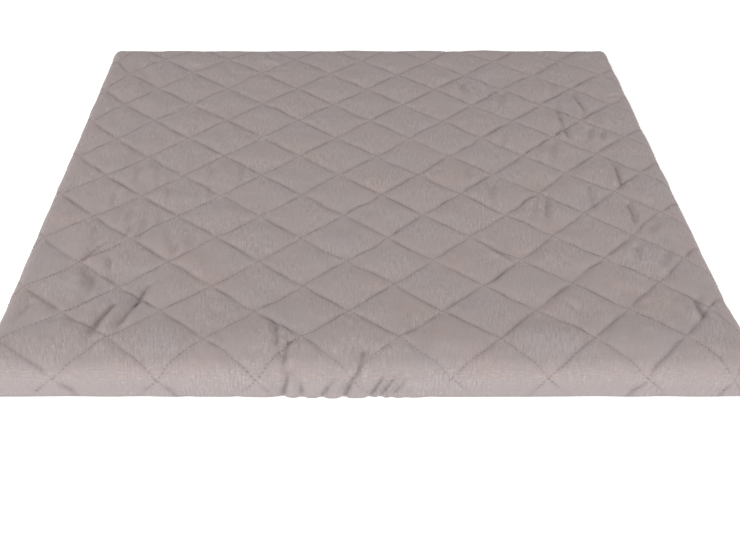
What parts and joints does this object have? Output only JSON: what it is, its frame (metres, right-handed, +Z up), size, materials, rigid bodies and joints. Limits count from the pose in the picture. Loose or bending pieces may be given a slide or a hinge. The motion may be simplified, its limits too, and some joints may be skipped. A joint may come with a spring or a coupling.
{
  "type": "washing machine cover",
  "caption": "Fitted cover of diamond-quilted cloth: a square padded top, softly rounded edges and a short gathered drop all round, hollow underneath.",
  "frame": {"origin": "middle of the underside of the flat top, on the plane of the surface that it covers", "axes": "+Z up out of the top, +X along the width to the right, front drop at -Y"},
  "size_m": [0.6098, 0.6106, 0.0286],
  "materials": {
    "quilted_cloth": "soft matt quilted cloth, warm grey, short nap, stitched in diamonds"
  },
  "bodies": {
    "root": {"quilted_cover": "quilted_cloth"}
  },
  "joints": []
}
